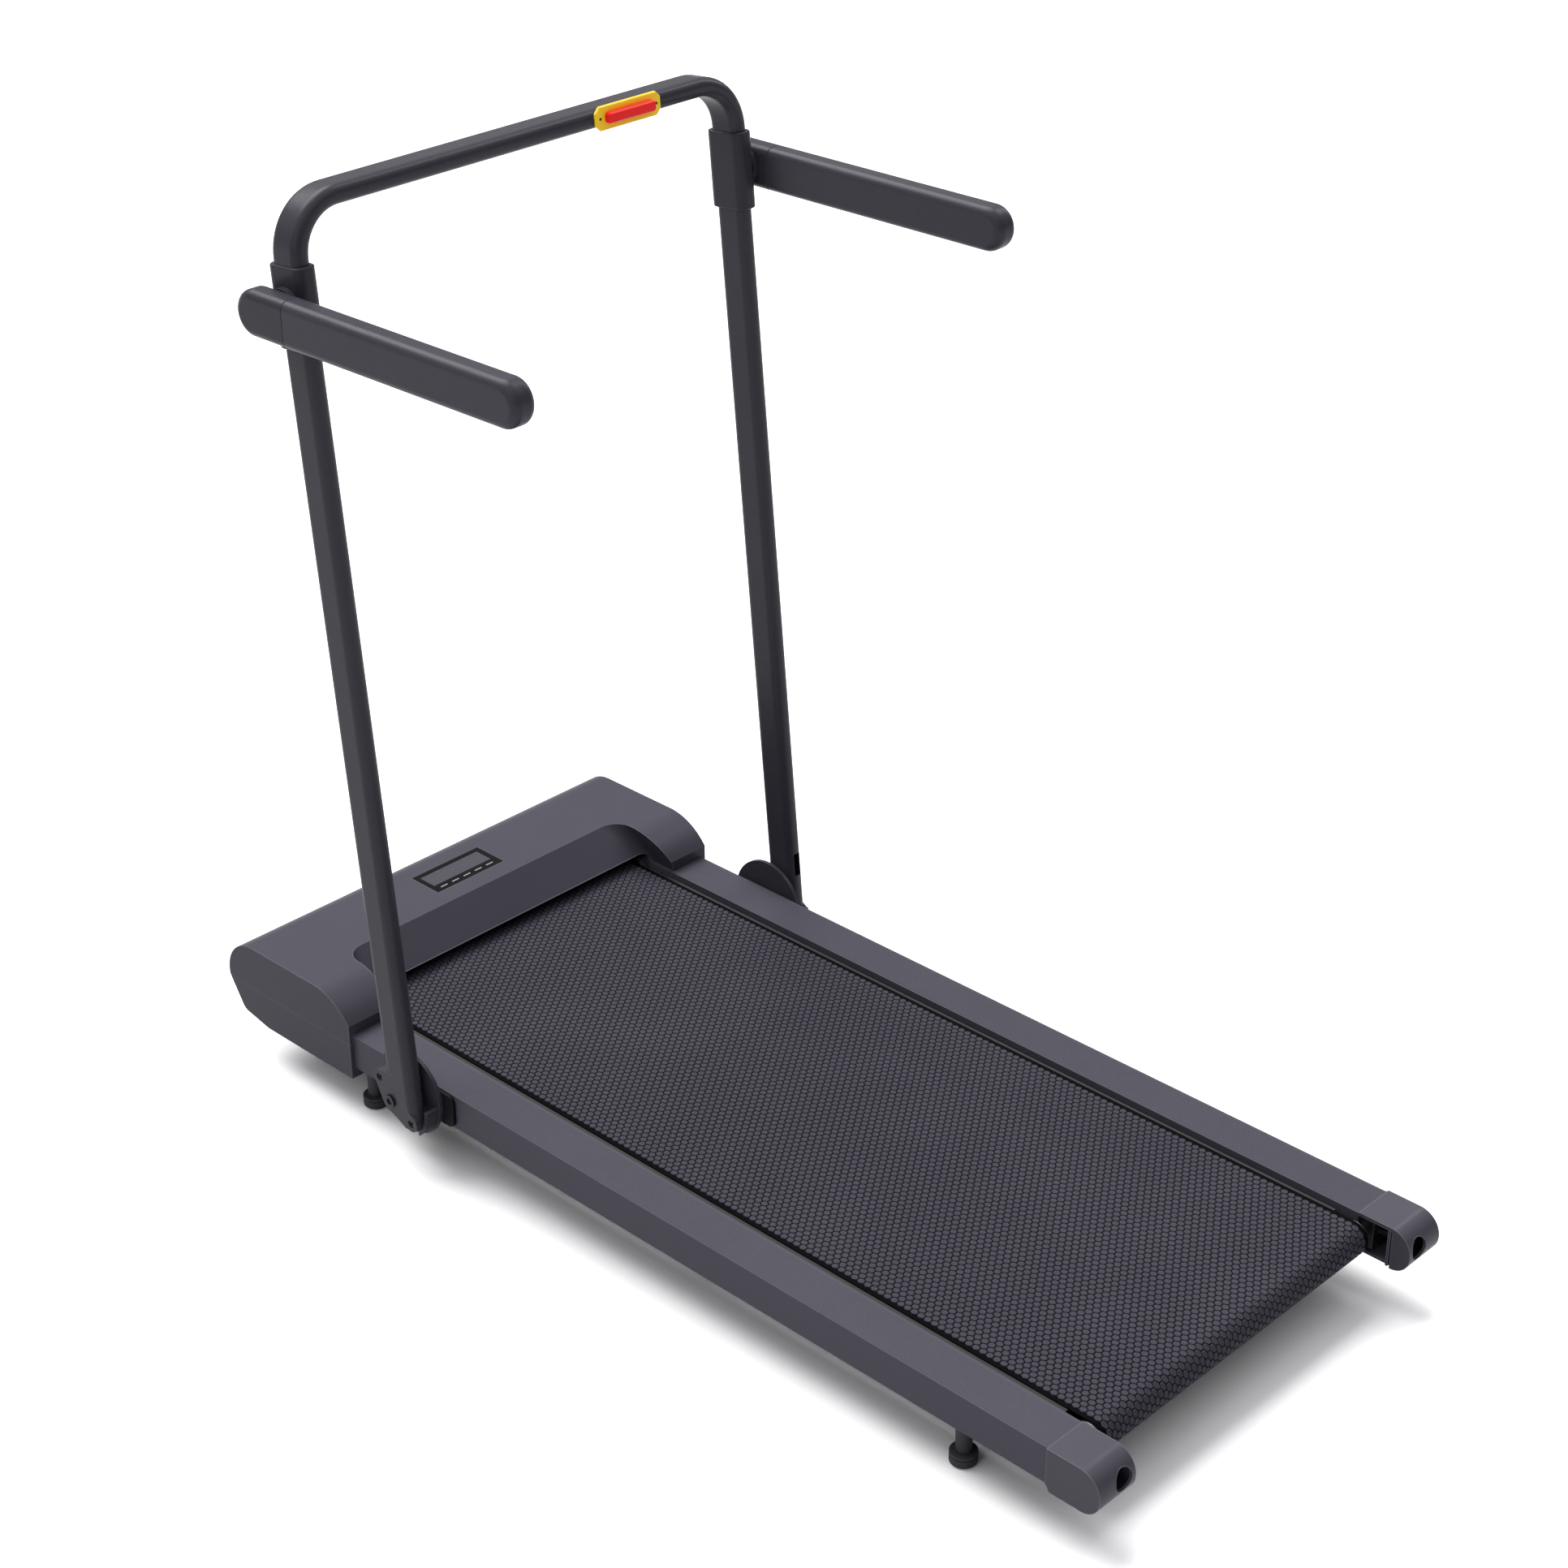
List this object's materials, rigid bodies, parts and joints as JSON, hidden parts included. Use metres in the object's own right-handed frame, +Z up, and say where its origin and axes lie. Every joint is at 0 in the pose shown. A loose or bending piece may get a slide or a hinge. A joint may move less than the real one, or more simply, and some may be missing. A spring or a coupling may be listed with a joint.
{
  "type": "treadmill",
  "caption": "Folding walking treadmill: flat belt deck, front motor hood with display, levelling feet, and a fold-down handlebar with hinged side arms and a pull-off safety key.",
  "frame": {"origin": "on the floor under the middle of the overall bounding box", "axes": "+Y the way the walker faces, towards the motor hood; +X to the walker's right; +Z up"},
  "size_m": [0.6566, 1.2104, 1.0291],
  "materials": {
    "rail_metal": "satin charcoal paint",
    "frame_steel": "satin black paint",
    "cap_plastic": "fine-grained moulding",
    "board_wood": "sealed deck board",
    "rubber_black": "matte",
    "belt_rubber": "textured running belt",
    "roller_steel": "turned",
    "bolt_black": "black oxide",
    "motor_case": "black enamel",
    "circuit": "solder-masked board",
    "hood_plastic": "satin moulding",
    "display_black": "gloss black",
    "display_glass": "tinted window",
    "indicator_white": "diffused white",
    "stem_steel": "satin grey",
    "wheel_plastic": "moulded wheel",
    "handle_paint": "satin charcoal powder coat",
    "collar_plastic": "satin moulding",
    "grip_plastic": "satin soft-touch",
    "key_yellow": "glossy yellow",
    "key_red": "glossy red"
  },
  "bodies": {
    "frame": {"side_rail_left": "rail_metal", "side_rail_right": "rail_metal", "rear_cross_member": "frame_steel", "middle_cross_member": "frame_steel", "front_cross_member": "frame_steel", "walking_board": "board_wood", "deck_cushions": "rubber_black", "running_belt": "belt_rubber", "drive_roller_axle": "roller_steel", "rear_roller_axle": "roller_steel", "belt_tensioners": "roller_steel", "tension_bolts": "bolt_black", "end_cap_left": "cap_plastic", "end_cap_right": "cap_plastic", "drive_motor": "motor_case", "motor_tray": "frame_steel", "motor_cradle": "frame_steel", "drive_belt": "rubber_black", "control_board": "circuit", "hood_upper_shell": "hood_plastic", "hood_lower_pan": "hood_plastic", "display_frame": "display_black", "display_window": "display_glass", "indicator_lights": "indicator_white", "power_inlet": "display_black", "switch_bezel": "display_black", "wheel_brackets": "frame_steel", "hinge_plate_left": "frame_steel", "hinge_plate_right": "frame_steel", "pivot_bolts": "bolt_black"},
    "handle": {"hinge_foot_left": "handle_paint", "hinge_foot_right": "handle_paint", "hinge_screws": "bolt_black", "post_left": "handle_paint", "post_right": "handle_paint", "collar_left": "collar_plastic", "collar_right": "collar_plastic", "arm_pivots": "bolt_black", "handlebar": "handle_paint", "key_plate": "key_yellow", "key_screws": "bolt_black"},
    "arm_left": {"arm_hub_left": "collar_plastic", "arm_grip_left": "grip_plastic"},
    "arm_right": {"arm_hub_right": "collar_plastic", "arm_grip_right": "grip_plastic"},
    "safety_key": {"safety_key": "key_red"},
    "drive_roller": {"drive_roller": "roller_steel"},
    "rear_roller": {"rear_roller": "roller_steel"},
    "motor_pulley": {"motor_pulley": "roller_steel"},
    "wheel_left": {"transport_wheel_left": "wheel_plastic"},
    "wheel_right": {"transport_wheel_right": "wheel_plastic"},
    "power_switch": {"power_switch": "display_black"},
    "foot_front_left": {"foot_pad_front_left": "rubber_black", "foot_stem_front_left": "stem_steel"},
    "foot_front_right": {"foot_pad_front_right": "rubber_black", "foot_stem_front_right": "stem_steel"},
    "foot_rear_left": {"foot_pad_rear_left": "rubber_black", "foot_stem_rear_left": "stem_steel"},
    "foot_rear_right": {"foot_pad_rear_right": "rubber_black", "foot_stem_rear_right": "stem_steel"}
  },
  "joints": [
    {"name": "handle_fold", "type": "hinge", "parent": "frame", "child": "handle", "pos_m": [0, 0.3007, 0.079], "axis": [1, 0, 0], "range_deg": [0, 95.46]},
    {"name": "arm_left_fold", "type": "hinge", "parent": "handle", "child": "arm_left", "pos_m": [-0.3148, 0.36645, 0.9207], "axis": [1, 0, 0], "range_deg": [0, 85.3]},
    {"name": "arm_right_fold", "type": "hinge", "parent": "handle", "child": "arm_right", "pos_m": [0.3148, 0.36645, 0.9207], "axis": [1, 0, 0], "range_deg": [0, 85.3]},
    {"name": "safety_key_pull", "type": "slide", "parent": "handle", "child": "safety_key", "axis": [0, -0.9955, 0.0952], "range_m": [0, 0.02]},
    {"name": "drive_roller_spin", "type": "hinge", "parent": "frame", "child": "drive_roller", "pos_m": [0, 0.458, 0.0759], "axis": [1, 0, 0], "continuous": true},
    {"name": "rear_roller_spin", "type": "hinge", "parent": "frame", "child": "rear_roller", "pos_m": [0, -0.5458, 0.0759], "axis": [1, 0, 0], "continuous": true},
    {"name": "motor_spin", "type": "hinge", "parent": "frame", "child": "motor_pulley", "pos_m": [0, 0.531, 0.084], "axis": [1, 0, 0], "continuous": true},
    {"name": "wheel_left_spin", "type": "hinge", "parent": "frame", "child": "wheel_left", "pos_m": [-0.185, 0.53, 0.028], "axis": [1, 0, 0], "continuous": true},
    {"name": "wheel_right_spin", "type": "hinge", "parent": "frame", "child": "wheel_right", "pos_m": [0.185, 0.53, 0.028], "axis": [1, 0, 0], "continuous": true},
    {"name": "power_switch_rock", "type": "hinge", "parent": "frame", "child": "power_switch", "pos_m": [0.2624, 0.556, 0.068], "axis": [0, 1, 0], "range_deg": [-19, 0]},
    {"name": "foot_front_left_level", "type": "slide", "parent": "frame", "child": "foot_front_left", "axis": [0, 0, -1], "range_m": [0, 0.008]},
    {"name": "foot_front_right_level", "type": "slide", "parent": "frame", "child": "foot_front_right", "axis": [0, 0, -1], "range_m": [0, 0.008]},
    {"name": "foot_rear_left_level", "type": "slide", "parent": "frame", "child": "foot_rear_left", "axis": [0, 0, -1], "range_m": [0, 0.008]},
    {"name": "foot_rear_right_level", "type": "slide", "parent": "frame", "child": "foot_rear_right", "axis": [0, 0, -1], "range_m": [0, 0.008]}
  ],
  "couplings": [
    {"joint": "rear_roller_spin", "follows": "drive_roller_spin", "ratio": 1},
    {"joint": "motor_spin", "follows": "drive_roller_spin", "ratio": 2.2222}
  ]
}
